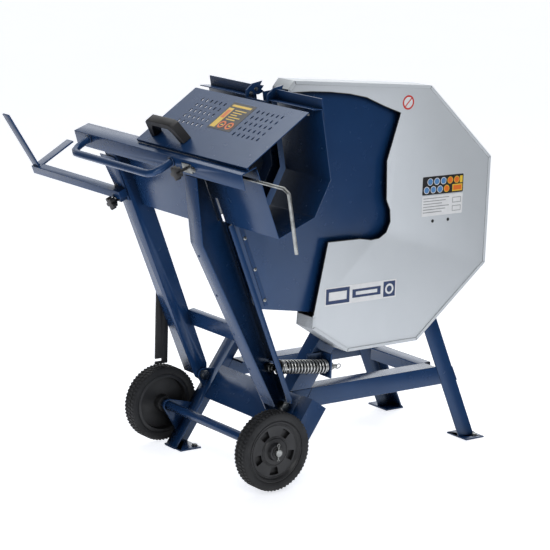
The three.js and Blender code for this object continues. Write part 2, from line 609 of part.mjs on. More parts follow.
function addClamps(cradle) {
  // Holder plate on the leg, widening upwards, and a jaw under the arm.
  const outline = [[-104, 40], [-56, 40], [-56, -96], [-131, -96], [-118, -30], [-106, 26]];
  const plate = prism(outline, 3, legPoint(0, 3.3, 0), X, LEG_DOWN);
  const jawDown = ARM.size + GAP;
  const jaw = prism(rect(-101, jawDown, -73, jawDown + 15), 17, legPoint(0, 20, 0), X, LEG_DOWN);
  const hole = prism(circle(ARM.knobX, jawDown + 8, 4.6, 12), 40, legPoint(0, 30, 0), X, LEG_DOWN);
  addPiece(cradle, 'arm_holder', plate.add(jaw).subtract(hole), blueCoat);
}

function starKnob(centre, out, studDepth) {
  const side = out.clone().cross(X);
  const lobes = 5;
  const outline = [];
  for (let i = 0; i < lobes; i++) {
    for (const [radius, step] of [[11, 0], [16, 0.22], [19, 0.38], [19, 0.62], [16, 0.78]]) {
      const angle = 2 * Math.PI * (i + step) / lobes;
      outline.push([radius * Math.cos(angle), radius * Math.sin(angle)]);
    }
  }
  const head = prism(outline, 15, centre.clone().addScaledVector(out, -3), side, X.clone().negate());
  const boss = prism(circle(0, 0, 9), 9, centre.clone().addScaledVector(out, -9), side, X.clone().negate());
  const stud = prism(circle(0, 0, 4, 12), studDepth, centre.clone().addScaledVector(out, -10 - studDepth + 1), side,
    X.clone().negate());
  return head.add(boss).add(stud);
}

function addMovingTrim() {
  const { y, z, r, start, corner, drop } = STOP_ROD;
  const down = at(0, 0.19, -0.982).multiplyScalar(drop);
  const rodPath = [at(start, y, z), at(corner, y, z), at(corner, y, z).add(down)];
  addPiece(assembly('stop_rod'), 'stop_rod', bar(rodPath, r, 14, 8, 34), zinc);

  const armSection = rect(0, 0, ARM.far - ARM.near, ARM.size);
  const armBar = prism(armSection.map(([a, b]) => [ARM.near + a, b]), ARM.size,
    legPoint(0, ARM.off + ARM.size, 0), X, LEG_DOWN);
  const fork = plateYZ(folded([[-602, 926], [-498, 768], [-387, 835]], -5), ARM.far, ARM.far + 35);
  addPiece(assembly('extension_arm'), 'extension_arm', armBar.add(fork), blueCoat);

  const [faceY, faceZ] = beamFacePoint();
  const rodKnob = starKnob(at(KNOB_ROD_X, faceY, faceZ).addScaledVector(BEAM_OUT, 29), BEAM_OUT, 38.2);
  addPiece(assembly('knob_rod'), 'knob_rod', rodKnob, blackPlastic);
  const armKnob = starKnob(legPoint(ARM.knobX, 38, ARM.size + GAP + 8), LEG_OUT, 23);
  addPiece(assembly('knob_arm'), 'knob_arm', armKnob, blackPlastic);

  const outline = [
    [-341, 236], [-299, 236], [-299, 470], [-341, 470], [-341, 252], [-318, 252], [-318, 244], [-341, 244],
  ];
  const latch = plateYZ(outline, -112, -106, [circle(LATCH.y, LATCH.z, LATCH.pinR + 0.6)]);
  addPiece(assembly('latch'), 'latch_bar', latch, blackPlastic);
}

// ---------------------------------------------------------------- lid
function addLid() {
  const group = assembly('lid');
  const length = Math.hypot(LID.bottom[0] - LID.top[0], LID.bottom[1] - LID.top[1]);
  const down = at(0, (LID.bottom[0] - LID.top[0]) / length, (LID.bottom[1] - LID.top[1]) / length);
  const origin = at(0, ...LID.top);
  const slots = [];
  for (const firstX of [167, 423]) {
    for (let column = 0; column < 6; column++) {
      for (let row = 0; row < 5; row++) {
        const [x, s] = [firstX + column * 21.3, 37 + row * 23];
        slots.push([...arc(x, s + 3.4, 3.3, 0, 180, 3), ...arc(x, s - 3.4, 3.3, 180, 360, 3)]);
      }
    }
  }
  const sheet = prism(rect(TROUGH.far, 0, TROUGH.near, length), LID.sheet, origin, X, down, slots);
  const apron = prism(rect(TROUGH.far, length - LID.sheet, TROUGH.near, length), 9, origin, X, down);
  addPiece(group, 'trough_lid', sheet.add(apron), blueCoat);

  // Bridge grip: a flat-topped handle with splayed feet.
  const outward = X.clone().cross(down).negate();
  const profile = [
    [128, 0.3], [147, 0.3], [158, 30], [168, 40], [240, 40], [252, 30], [267, 0.3], [287, 0.3], [268, 50],
    [256, 56], [150, 56], [139, 48],
  ];
  const gripEnd = origin.clone().addScaledVector(down, GRIP.start + GRIP.width);
  const grip = prism(profile, GRIP.width, gripEnd, X, outward);
  addPiece(group, 'lid_grip', grip, blackPlastic);
}

// ---------------------------------------------------------------- return spring and its rod
function addSpring() {
  const { x, y, z, slope, r, seat, bracketY, length } = SPRING_ROD;
  const bracket = (bracketY - y) / Math.cos(THREE.MathUtils.degToRad(slope));
  const t = THREE.MathUtils.degToRad(slope);
  const along = at(0, Math.cos(t), Math.sin(t));
  const across = X.clone().cross(along);
  const round = (radius, from, to, sides = FACETS, bore = 0) => prism(
    circle(0, 0, radius, sides), to - from, at(x, y, z).addScaledVector(along, from), across, X,
    bore ? [circle(0, 0, bore, sides)] : [],
  );
  const eye = cylinderX(331, 351, y, z, 12);
  const behind = bracket + ANGLE_WALL + 4;
  const rod = round(r, 0, length)
    .add(round(21, seat, seat + 3))
    .add(round(17, behind, behind + 3))
    .add(round(11, behind + 1, behind + 14, 6))
    .add(eye)
    .subtract(cylinderX(320, 360, y, z, 5.4));
  addPiece(assembly('spring_rod'), 'spring_rod', rod, zinc);
  addPiece(assembly('spring'), 'return_spring', round(19, seat + 3.4, bracket - 3, FACETS, 13), zinc);
}

addFrame();
addPivotBolts();
addSpringBracket();
addRunningGear();
addCase();
addBlade();
addMotor();
addButtons();
addCradle();
addMovingTrim();
addLid();
addSpring();

export default machine;
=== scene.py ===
"""Looks for the tilting-cradle log saw. Places are given in millimetres of the machine's own drawing,
whose zero lies under the frame, and at() turns them into the row frame in metres."""

import json
import math
import random

import bmesh
import bpy
from mathutils import Matrix, Vector


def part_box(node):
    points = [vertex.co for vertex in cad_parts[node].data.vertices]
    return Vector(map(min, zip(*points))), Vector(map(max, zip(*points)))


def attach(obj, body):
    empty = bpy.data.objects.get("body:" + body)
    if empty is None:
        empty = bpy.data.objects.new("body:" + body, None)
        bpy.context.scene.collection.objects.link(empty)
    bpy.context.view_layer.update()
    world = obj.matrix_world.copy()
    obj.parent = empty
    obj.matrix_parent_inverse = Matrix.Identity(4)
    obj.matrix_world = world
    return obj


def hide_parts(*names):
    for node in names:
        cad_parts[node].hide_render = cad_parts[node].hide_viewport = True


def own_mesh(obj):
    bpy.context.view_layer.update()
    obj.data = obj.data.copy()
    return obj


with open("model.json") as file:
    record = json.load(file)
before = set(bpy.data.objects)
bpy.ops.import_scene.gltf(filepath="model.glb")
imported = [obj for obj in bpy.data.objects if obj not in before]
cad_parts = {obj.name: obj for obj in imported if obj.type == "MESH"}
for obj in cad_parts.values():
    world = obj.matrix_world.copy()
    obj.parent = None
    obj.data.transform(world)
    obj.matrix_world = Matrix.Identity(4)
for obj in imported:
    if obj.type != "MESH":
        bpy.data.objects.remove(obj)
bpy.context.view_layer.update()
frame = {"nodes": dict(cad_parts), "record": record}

MM = 0.001
X, Y, Z = Vector((1, 0, 0)), Vector((0, 1, 0)), Vector((0, 0, 1))

BLADE_CENTRE = Vector((357, 90, 712))       # drawing place of the blade, which ties the two frames together
low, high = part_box("saw_blade")
DRAWING_ZERO = (low + high) / 2 - BLADE_CENTRE * MM

AXLE = Vector((0, -321, 121.5))
WHEEL = {"radius": 110, "rim": 87, "width": 48, "near": 418.3, "far": -130.3}
CASE_FRONT, CASE_BACK = 393, 321
CASE_OUTLINE = [
    (-266, 1092), (-247, 1115), (229, 1077), (463, 862), (461, 551), (216, 349), (-35, 348), (-161, 428),
]
CASE_CUTOUT = [
    (-266, 1083), (-194, 1082), (-127, 1077), (-58, 1068), (0, 1055), (65, 1027), (121, 1006), (79, 876),
    (83, 766), (97, 737), (100, 703), (87, 675), (63, 661), (35, 659), (-4, 666), (-116, 667), (-158, 465),
]
LID_TOP = Vector((0, -354, 1065))
LID_DOWN, LID_OUT = Vector((0, -0.826, -0.5638)), Vector((0, -0.5638, 0.826))
BEAM_OUT = Vector((0, -0.9532, -0.3023))
BEAM_FITTINGS = Vector((0, -553.5, 898.5))  # where a plate and a bolt sit on the beam's front face

SPRING_PIN = Vector((340, -262, 322))
SPRING_SLOPE = math.radians(-7)
SPRING_ALONG = Vector((0, math.cos(SPRING_SLOPE), math.sin(SPRING_SLOPE)))
# Distances along the rod from its pin: to the washer, on to the coil at rest, and to the bracket.
SPRING = {"seat": 34.4, "gap": 2, "end": 196, "radius": 17.5, "wire": 2.7}
ROD_LENGTH = 234

ON_SURFACE = 0.05                           # how far a flat detail stands off the case's front


def at(x, y, z):
    return DRAWING_ZERO + Vector((x, y, z)) * MM


def circle(centre, u, v, radius, sides, count=None):
    """Points round a circle in the plane of u and v. A count one above sides repeats the first point."""
    points = []
    for k in range(count or sides):
        t = 2 * math.pi * k / sides
        points.append(centre + (u * math.cos(t) + v * math.sin(t)) * radius)
    return points


# ---------------------------------------------------------------- materials
def new_material(name):
    material = bpy.data.materials.new(name)
    material.use_nodes = True
    nodes = material.node_tree.nodes
    return material, nodes, material.node_tree.links, nodes["Principled BSDF"]


def noise(nodes, links, scale, detail):
    place = nodes.new("ShaderNodeTexCoord")
    texture = nodes.new("ShaderNodeTexNoise")
    texture.inputs["Scale"].default_value = scale
    texture.inputs["Detail"].default_value = detail
    links.new(place.outputs["Object"], texture.inputs["Vector"])
    return texture.outputs["Fac"]


def colours_from(nodes, links, value, dark, light):
    ramp = nodes.new("ShaderNodeValToRGB")
    for element, place, colour in zip(ramp.color_ramp.elements, (0.35, 0.65), (dark, light)):
        element.position = place
        element.color = (*colour, 1)
    links.new(value, ramp.inputs["Fac"])
    return ramp.outputs["Color"]


def range_from(nodes, links, value, low_value, high_value):
    span = nodes.new("ShaderNodeMapRange")
    span.inputs["From Min"].default_value = 0.3
    span.inputs["From Max"].default_value = 0.7
    span.inputs["To Min"].default_value = low_value
    span.inputs["To Max"].default_value = high_value
    links.new(value, span.inputs["Value"])
    return span.outputs["Result"]


def add_bump(nodes, links, shader, height, distance, strength=0.5):
    bump = nodes.new("ShaderNodeBump")
    bump.inputs["Distance"].default_value = distance
    bump.inputs["Strength"].default_value = strength
    links.new(height, bump.inputs["Height"])
    links.new(bump.outputs["Normal"], shader.inputs["Normal"])


def scaled(nodes, links, colour, share):
    tint = nodes.new("ShaderNodeVectorMath")
    tint.operation = "SCALE"
    links.new(colour, tint.inputs[0])
    links.new(share, tint.inputs["Scale"])
    return tint.outputs["Vector"]


# Painted shade: an ambient-occlusion node darkens each finish's colour in hollows.
PAINTED_SHADE_REACH = 0.3          # metres within which other surfaces shade a hollow
PAINTED_SHADE_KEEP = 0.12         # share of its colour that a finish keeps deep in a hollow


def surface(name, dark, light, rough, grain, bump,
            metallic=0.0, specular=0.5, patch=9, coat=0.0, sheen=(1, 1, 1)):
    """A finish whose colour drifts over patches and is darkened by painted shade in hollows, whose gloss
    varies, and which has a fine grain in relief. The darkening is painted shade, a studio effect, not part of
    the paint."""
    material, nodes, links, shader = new_material(name)
    colour = colours_from(nodes, links, noise(nodes, links, patch, 4), dark, light)
    # painted shade: the colour is scaled down where other surfaces close a hollow in
    painted_shade_node = nodes.new("ShaderNodeAmbientOcclusion")
    painted_shade_node.samples = 8
    painted_shade_node.inputs["Distance"].default_value = PAINTED_SHADE_REACH
    painted_shade_share = range_from(nodes, links, painted_shade_node.outputs["AO"], PAINTED_SHADE_KEEP, 1.0)
    links.new(scaled(nodes, links, colour, painted_shade_share), shader.inputs["Base Color"])
    gloss = noise(nodes, links, patch * 3.5, 5)
    links.new(range_from(nodes, links, gloss, *rough), shader.inputs["Roughness"])
    shader.inputs["Metallic"].default_value = metallic
    shader.inputs["Specular IOR Level"].default_value = specular
    shader.inputs["Specular Tint"].default_value = (*sheen, 1)
    shader.inputs["Coat Weight"].default_value = coat
    shader.inputs["Coat Roughness"].default_value = 0.12
    add_bump(nodes, links, shader, noise(nodes, links, grain, 2), bump)
    return material


def turned_steel(name, centre):
    """Ground steel whose fine grooves run round the blade's axis."""
    material, nodes, links, shader = new_material(name)
    place = nodes.new("ShaderNodeTexCoord")
    radius = nodes.new("ShaderNodeVectorMath")
    radius.operation = "DISTANCE"
    radius.inputs[1].default_value = centre
    rings = nodes.new("ShaderNodeTexNoise")
    rings.noise_dimensions = "1D"
    rings.inputs["Scale"].default_value = 900
    links.new(place.outputs["Object"], radius.inputs[0])
    links.new(radius.outputs["Value"], rings.inputs["W"])
    colour = colours_from(nodes, links, rings.outputs["Fac"], (0.38, 0.38, 0.39), (0.56, 0.56, 0.57))
    links.new(colour, shader.inputs["Base Color"])
    links.new(range_from(nodes, links, rings.outputs["Fac"], 0.24, 0.42), shader.inputs["Roughness"])
    shader.inputs["Metallic"].default_value = 1.0
    add_bump(nodes, links, shader, rings.outputs["Fac"], 0.00005, 0.4)
    return material


BLUE = surface(
    "blue powder coat", (0.0075, 0.037, 0.118), (0.0095, 0.042, 0.130), (0.23, 0.28), 1400, 0.00003,
    specular=0.62, sheen=(0.66, 0.80, 1.0))
SILVER = surface(
    "silver powder coat", (0.64, 0.68, 0.715), (0.66, 0.70, 0.735), (0.36, 0.43), 1500, 0.00004, metallic=0.1)
ZINC = surface(
    "zinc plating", (0.26, 0.27, 0.26), (0.44, 0.45, 0.44), (0.22, 0.42), 900, 0.00004,
    metallic=1.0, patch=60)
SPRING_WIRE = surface(
    "spring wire", (0.44, 0.45, 0.44), (0.62, 0.63, 0.62), (0.26, 0.4), 1100, 0.00004, metallic=1.0, patch=70)
BLACK = surface(
    "moulded black plastic", (0.019, 0.019, 0.021), (0.028, 0.028, 0.030), (0.4, 0.55), 2200, 0.00012)
BLACK_COAT = surface(
    "black powder coat", (0.022, 0.022, 0.023), (0.032, 0.032, 0.033), (0.42, 0.54), 1400, 0.0001)
WHEEL_PLASTIC = surface(
    "wheel plastic", (0.012, 0.013, 0.015), (0.019, 0.020, 0.023), (0.38, 0.5), 1500, 0.0001)
TYRE = surface("tyre rubber", (0.009, 0.010, 0.012), (0.016, 0.017, 0.019), (0.6, 0.78), 1200, 0.00022)
MOTOR = surface("grey motor enamel", (0.10, 0.11, 0.12), (0.14, 0.15, 0.16), (0.36, 0.5), 700, 0.00018)
RED = surface(
    "red button plastic", (0.42, 0.014, 0.010), (0.50, 0.020, 0.014), (0.22, 0.32), 900, 0.00003, coat=0.3)
GREEN = surface(
    "green button plastic", (0.014, 0.22, 0.05), (0.02, 0.27, 0.06), (0.22, 0.32), 900, 0.00003, coat=0.3)
STEEL = turned_steel("ground steel", at(*BLADE_CENTRE))
# Near-black finish of the case screws' heads and of the strip round the case cut-out, which is painted shadow
# of the gap under the plate's edge.
SHADOW_GAP = surface("near-black trim and painted gap shadow", (0.006, 0.006, 0.007), (0.010, 0.010, 0.011), (0.5, 0.65), 900, 0.0001)


def ink(name, colour):
    """Printed vinyl: an even film with a faint mottle."""
    lighter = [min(1, c * 1.08 + 0.004) for c in colour]
    return surface(name, colour, lighter, (0.3, 0.38), 2500, 0.00002, patch=40)


INK_BLACK = ink("label black", (0.012, 0.012, 0.013))
INK_ORANGE = ink("label orange", (0.78, 0.17, 0.02))
INK_YELLOW = ink("label yellow", (0.83, 0.55, 0.05))
INK_WHITE = ink("label white", (0.78, 0.79, 0.80))
INK_BLUE = ink("label blue", (0.02, 0.045, 0.13))
INK_SKY = ink("label light blue", (0.09, 0.25, 0.52))
INK_RED = ink("label red", (0.62, 0.03, 0.02))
INK_GREY = ink("label grey", (0.33, 0.34, 0.35))


# ---------------------------------------------------------------- mesh building
class Shape:
    """Collects closed bodies, drawn in drawing millimetres, into one piece."""

    def __init__(self, name, body, slot, materials):
        self.name, self.body, self.slot = name, body, slot
        self.materials = materials if isinstance(materials, list) else [materials]
        self.mesh = bmesh.new()

    def skin(self, rings, closed=False, material=0):
        """Faces between rings of points. A closed skin joins its last ring to the first."""
        rows = [[self.mesh.verts.new(at(*p)) for p in ring] for ring in rings]
        count = len(rows[0])
        pairs = list(zip(rows, rows[1:])) + ([(rows[-1], rows[0])] if closed else [])
        faces = []
        for a, b in pairs:
            for i in range(count):
                j = (i + 1) % count
                faces.append(self.mesh.faces.new((a[i], a[j], b[j], b[i])))
        if not closed:
            faces.append(self.mesh.faces.new(rows[0][::-1]))
            faces.append(self.mesh.faces.new(rows[-1]))
        for face in faces:
            face.material_index = material
        return self

    def prism(self, outline, depth, origin, u, v, material=0):
        w = u.cross(v)
        rings = [[origin + a * u + b * v + w * d for a, b in outline] for d in (0, depth)]
        return self.skin(rings, material=material)

    def lathe(self, profile, origin, axis, sides=24, material=0):
        """A profile of (radius, distance along the axis) pairs, turned and closed on itself."""
        u = axis.orthogonal().normalized()
        v = axis.cross(u)
        rings = [circle(origin + axis * along, u, v, radius, sides) for radius, along in profile]
        return self.skin(rings, closed=True, material=material)

    def tube(self, points, radius, sides=8):
        """A round bar along points; radius is a number or a function of how far along it is, from 0 to 1."""
        rings = []
        side = None
        last = len(points) - 1
        for i, point in enumerate(points):
            along = (points[min(i + 1, last)] - points[max(i - 1, 0)]).normalized()
            if side is None:
                side = along.orthogonal().normalized()
            side = (side - along * side.dot(along)).normalized()
            r = radius(i / last) if callable(radius) else radius
            rings.append(circle(point, side, along.cross(side), r, sides))
        return self.skin(rings)

    def finish(self, bevel=0.0, crease=35):
        bmesh.ops.recalc_face_normals(self.mesh, faces=self.mesh.faces)
        data = bpy.data.meshes.new(self.name)
        self.mesh.to_mesh(data)
        self.mesh.free()
        return add_object(self.name, data, self.body, self.materials, bevel, crease)


def add_object(name, data, body, materials, bevel, crease):
    """A piece with rounded edges, or with crisp ones where bevel is 0, that rides on one of the bodies."""
    piece = bpy.data.objects.new(name, data)
    bpy.context.scene.collection.objects.link(piece)
    for material in materials:
        data.materials.append(material)
    for polygon in data.polygons:
        polygon.use_smooth = True
    if bevel:
        rounding = piece.modifiers.new("rounded edges", "BEVEL")
        rounding.width = bevel * MM
        rounding.segments = 2
        rounding.limit_method = "ANGLE"
        rounding.angle_limit = math.radians(crease)
        rounding.harden_normals = True
        bpy.context.view_layer.update()
        rounded = piece.evaluated_get(bpy.context.evaluated_depsgraph_get())
        piece.data = bpy.data.meshes.new_from_object(rounded)
        piece.modifiers.clear()
    else:
        piece.data.set_sharp_from_angle(angle=math.radians(crease))
    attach(piece, body)
    return piece


BODY_OF = {node: body for body, members in frame["record"]["behaviour"]["bodies"].items() for node in members}
SLOT_OF = {part["node"]: part["material_slot"] for part in frame["record"]["subparts"]}


def rounded_copy(node, material, bevel):
    """A copy of a CAD node with its bends and cut edges rounded, shown in the node's place."""
    data = frame["nodes"][node].data.copy()
    data.materials.clear()
    mesh = bmesh.new()
    mesh.from_mesh(data)
    bmesh.ops.remove_doubles(mesh, verts=mesh.verts, dist=2e-6)
    bmesh.ops.dissolve_limit(mesh, angle_limit=math.radians(0.6), verts=mesh.verts, edges=mesh.edges)
    bmesh.ops.recalc_face_normals(mesh, faces=mesh.faces)
    mesh.to_mesh(data)
    mesh.free()
    piece = add_object(f"{node}_finished", data, BODY_OF[node], [material], bevel, 28)
    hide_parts(node)
    return piece


# ---------------------------------------------------------------- carried-over pieces
FINISH = {      # the finish of each material slot, and how far its edges are rounded in millimetres
    "blue_coat": (BLUE, 1.2), "silver_coat": (SILVER, 0.6), "zinc_plate": (ZINC, 0.5),
    "blade_steel": (STEEL, 0.35), "motor_grey": (MOTOR, 0.8), "black_plastic": (BLACK, 1.4),
    "black_coat": (BLACK_COAT, 0.8), "wheel_plastic": (WHEEL_PLASTIC, 1.0), "green_plastic": (GREEN, 1.0),
    "red_plastic": (RED, 1.0),
}
REBUILT = {"return_spring", "tyre_near", "tyre_far"}
# Nodes whose edges are rounded by something else; 0 leaves them crisp.
FINE_EDGES = {"trough_lid": 0, "claw_strip_far": 0.4, "claw_strip_near": 0.4, "saw_blade": 0.2}


def add_carried_over():
    for node in frame["nodes"]:
        if node in REBUILT:
            continue
        material, bevel = FINISH[SLOT_OF[node]]
        piece = rounded_copy(node, material, FINE_EDGES.get(node, bevel))
        if node == "axle":
            paint_sleeve(piece)


SLEEVE_ENDS = (-81.5, 418)


def paint_sleeve(axle):
    """The tube between the wheels is painted, and the axle's ends are plated."""
    axle.data.materials.append(BLUE)
    ends = [at(x, 0, 0).x for x in SLEEVE_ENDS]
    for polygon in axle.data.polygons:
        if ends[0] < polygon.center.x < ends[1]:
            polygon.material_index = 1


# ---------------------------------------------------------------- fasteners and welds
def hex_bolt(shape, point, out, across=13, height=5.5, washer=9.5):
    """A washer and a hexagon head with chamfered corners, standing on point along out."""
    u = out.orthogonal().normalized()
    v = out.cross(u)
    edge, thick = washer - 0.4, 1.6
    ring = [(0.4, 0.02), (edge, 0.02), (washer, 0.4), (washer, 1.2), (edge, thick), (0.4, thick)]
    shape.lathe(ring, point, out)
    radius, top = across / math.sqrt(3), thick + height
    head = ((0.97, 1.65), (1.0, 1.9), (1.0, top - 0.9), (0.86, top), (0.1, top))
    shape.skin([circle(point + out * along, u, v, radius * scale, 6) for scale, along in head])


def pan_screw(shape, point, out, radius=6.5, height=2.8):
    """A low domed head with a sunk round socket."""
    dome = [(0.3, 0.02), (radius, 0.02), (radius, 0.7)]
    for step in range(1, 5):
        t = math.pi / 2 * step / 5
        dome.append((radius * math.cos(t) * 0.98, 0.7 + (height - 0.7) * math.sin(t)))
    dome += [(radius * 0.34, height * 0.98), (radius * 0.30, height * 0.35), (0.2, height * 0.3)]
    shape.lathe(dome, point, out, sides=18)


def weld(shape, start, end, radius=2.4, seed=1):
    """A bead of overlapping weld ripples between two points."""
    draw = random.Random(seed)
    length = (end - start).length
    ripples = max(4, int(length / 2.6))
    points, radii = [], []
    for i in range(ripples * 2 + 1):
        t = i / (ripples * 2)
        points.append(start.lerp(end, t))
        ripple = 0.84 if i % 2 else 1.05
        taper = 0.7 if i in (0, ripples * 2) else 1
        radii.append(radius * ripple * draw.uniform(0.94, 1.06) * taper)
    shape.tube(points, lambda t: radii[round(t * (len(radii) - 1))])


def spots(name, body, places, head=pan_screw, material=ZINC, slot="zinc_plate", **sizes):
    """One piece that holds a head at each place. A place is a point and the way the head stands."""
    shape = Shape(name, body, slot, material)
    for point, out in places:
        head(shape, Vector(point), out, **sizes)
    return shape.finish(crease=30)


def add_cradle_fasteners():
    flange_out = Vector((0, -0.885, -0.466))
    flange_line = [(-522, 694), (-272, 220)]
    rivets = []
    for share in (0.08, 0.32, 0.56, 0.78, 0.95):
        y, z = (a + (b - a) * share for a, b in zip(*flange_line))
        rivets.append((Vector((337, y, z)) + flange_out * 0.1, flange_out))
    spots("near_leg_rivets", "cradle", rivets, radius=3.6, height=1.6, material=BLUE, slot="blue_coat")

    guard_face = 376.2
    strip = Shape("guard_edge_strip", "cradle", "blue_coat", BLUE)
    strip.prism([(-402, 730), (-391, 734), (-300, 510), (-311, 507)], 1.6, Vector((guard_face, 0, 0)), Y, Z)
    strip.finish(bevel=0.4)
    screws = [((377.9, y, z), X) for y, z in ((-383, 700), (-347, 612), (-312, 524))]
    spots("guard_screws", "cradle", screws, radius=5, height=2.2)

    panel_out = Vector((0, -0.926, -0.3776))
    screws = []
    for x, t in ((-10, 0.72), (62, 0.66), (62, 0.9), (-10, 0.93)):
        screws.append((Vector((x, -510 + 75 * t, 929.6 - 183.6 * t)) + panel_out * 0.1, panel_out))
    spots("front_panel_screws", "cradle", screws, radius=4.5, height=2)

    bolts = [((308.1, y, z), X) for y, z in ((-310, 1086), (-326, 1076))]
    bolts += [((399, y, z), -X) for y, z in ((-310, 1086), (-326, 1076))]
    spots("claw_bolts", "cradle", bolts, head=hex_bolt, across=8, height=3.5, washer=5.5)


def add_frame_fasteners():
    quarters = [math.pi / 4 * k for k in (1, 3, 5, 7)]
    ring = [(90 + 66 * math.cos(t), 712 + 66 * math.sin(t)) for t in quarters]
    spots("motor_bolts", "frame", [((CASE_BACK + 2.2, y, z), X) for y, z in ring], head=hex_bolt)
    screws = [((CASE_FRONT + 0.1, y, z), X) for y, z in ((255, 691), (312, 691))]
    spots("case_screws", "frame", screws, radius=4.6, height=1.6, material=SHADOW_GAP)
    bolts = [((306, y, z), -X) for y, z in ((-6, 470), (300, 470), (0, 800), (180, 800))]
    spots("case_mounting_bolts", "frame", bolts, head=hex_bolt)
    feet = [((x, y, 5.1), Z) for x, y in ((-12, -262), (396, -262), (-88, 508), (326, 516))]
    spots("foot_anchor_screws", "frame", feet, head=hex_bolt, height=4)


def add_beam_bolt():
    place = X * 380 + BEAM_FITTINGS + BEAM_OUT * 0.1
    spots("top_beam_bolt", "cradle", [(place, BEAM_OUT)], head=hex_bolt, across=10, height=4, washer=8)


def add_welds():
    cradle = Shape("cradle_welds", "cradle", "blue_coat", BLUE)
    for x in (-134, 280):
        centre = Vector((x, -556, 906)) + BEAM_OUT * 2.6
        cradle.tube(circle(centre, X, BEAM_OUT.cross(X), 12, 24, 25), 1.9)
    cradle.finish(crease=50)

    feet = Shape("foot_welds", "frame", "blue_coat", BLUE)
    for x0, x1, y in ((-72, -22, -321), (363, 413, -321), (-72, -22, 523), (263, 313, 529)):
        weld(feet, Vector((x0 + 2, y + 3, 5.5)), Vector((x1 - 2, y + 3, 5.5)), seed=int(x0 + 500))
    feet.finish(crease=50)

    joints = Shape("rail_welds", "frame", "blue_coat", BLUE)
    for x in (-72.4, 313.2):
        weld(joints, Vector((x, -90, 232)), Vector((x, -120, 180)), radius=1.8, seed=7)
        weld(joints, Vector((x, 425, 226)), Vector((x, 446, 182)), radius=1.8, seed=8)
    joints.finish(crease=50)

    fork = Shape("fork_welds", "extension", "blue_coat", BLUE)
    corner = Vector((-500, -498, 768))
    weld(fork, corner + Vector((-34, -2, 4)), corner + Vector((-1, -2, 4)), radius=3.2, seed=3)
    fork.finish(crease=50)


# ---------------------------------------------------------------- spring
def add_spring():
    """The return spring: an open coil whose end turns lie closed, round the spring's rod."""
    across = X.cross(SPRING_ALONG)
    wire = SPRING["wire"]
    start, end = SPRING["seat"] + SPRING["gap"] + wire, SPRING["end"] - wire
    closed_turns, open_turns, steps = 1.2, 13, 22
    closed_rise = 2 * wire * 1.04
    middle_rise = (end - start - 2 * closed_turns * closed_rise) / open_turns
    points = []
    for i in range(int((2 * closed_turns + open_turns) * steps) + 1):
        turn = i / steps
        first = min(turn, closed_turns)
        middle = min(max(turn - closed_turns, 0), open_turns)
        last = max(turn - closed_turns - open_turns, 0)
        s = start + (first + last) * closed_rise + middle * middle_rise
        angle = 2 * math.pi * turn
        round_rod = across * math.cos(angle) + X * math.sin(angle)
        points.append(SPRING_PIN + SPRING_ALONG * s + round_rod * SPRING["radius"])
    coil = Shape("return_coil", "frame", "spring_steel", SPRING_WIRE)
    coil.tube(points, lambda t: wire * (0.55 if t in (0, 1) else 1), sides=9)
    spring = coil.finish(crease=40)
    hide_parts("return_spring")
    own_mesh(spring)


# ---------------------------------------------------------------- wheels
LUGS = 60                   # tread blocks in each row


def tread_block(hub, across, turn):
    """One tread block, between two distances across the tyre, that narrows outwards."""
    outer, half_width = WHEEL["radius"], 0.56 * math.pi / LUGS
    middle = (across[0] + across[1]) / 2
    rings = []
    for radius, spread, inset in ((outer - 3, 1.0, 0), (outer - 0.4, 0.82, 0.8), (outer - 0.02, 0.7, 0.8)):
        ring = []
        for edge, side in ((0, -1), (1, -1), (1, 1), (0, 1)):
            along = across[edge] + math.copysign(inset, middle - across[edge])
            t = turn + side * spread * half_width
            ring.append(hub + X * along + (Y * math.cos(t) + Z * math.sin(t)) * radius)
        rings.append(ring)
    return rings


def add_tyres():
    half = WHEEL["width"] / 2
    inner, outer = WHEEL["rim"] + 0.3, WHEEL["radius"]
    tread, groove = outer - 2.2, outer - 3.4
    wall = [(inner, half - 4), (inner + 5, half - 1.2), (outer - 9, half - 0.2), (outer - 4, half - 1.4)]
    crown = [(tread, half - 4.5), (tread, 10.5), (groove, 9.8), (groove, 8.2), (tread, 7.5)]
    near_half = wall + crown
    profile = [(radius, -along) for radius, along in near_half] + near_half[::-1]
    rows = ((-half + 3, -11), (-7, 7), (11, half - 3))
    for side in ("near", "far"):
        hub = Vector((WHEEL[side] + half, AXLE.y, AXLE.z))
        tyre = Shape(f"tread_{side}", f"{side}_wheel", "tyre_rubber", TYRE)
        tyre.skin([circle(hub + X * along, Y, Z, radius, 144) for radius, along in profile], closed=True)
        for row, across in enumerate(rows):
            for k in range(LUGS):
                tyre.skin(tread_block(hub, across, 2 * math.pi * (k + 0.5 * (row % 2)) / LUGS))
        piece = tyre.finish(crease=32)
        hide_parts(f"tyre_{side}")


